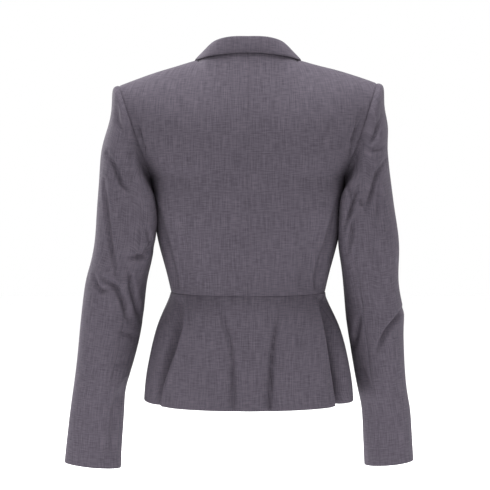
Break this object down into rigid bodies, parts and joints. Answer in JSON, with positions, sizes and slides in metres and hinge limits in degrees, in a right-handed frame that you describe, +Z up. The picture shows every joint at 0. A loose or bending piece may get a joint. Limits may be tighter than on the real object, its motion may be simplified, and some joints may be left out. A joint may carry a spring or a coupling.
{
  "type": "blazer",
  "caption": "Fitted jacket with a turned-down collar, padded shoulders, long set-in sleeves and a flared peplum below a waist seam, in worn form.",
  "frame": {"origin": "middle of the neck, level with the inner ends of the shoulder seams", "axes": "+Z up along the body, +Y out of the wearer's back, +X to the wearer's left"},
  "size_m": [0.5738, 0.2638, 0.6915],
  "materials": {
    "suiting": "fine two-tone worsted suiting, matt with a faint sheen",
    "button": "satin, four holes"
  },
  "bodies": {
    "root": {"back_left": "suiting", "back_right": "suiting", "front_left": "suiting", "front_right": "suiting", "lapel_left": "suiting", "lapel_right": "suiting", "collar_stand": "suiting", "collar_fall": "suiting", "peplum_back_left": "suiting", "peplum_back_right": "suiting", "peplum_front_left": "suiting", "peplum_front_right": "suiting", "sleeve_upper_left": "suiting", "sleeve_under_left": "suiting", "sleeve_upper_right": "suiting", "sleeve_under_right": "suiting", "button": "button"}
  },
  "joints": []
}
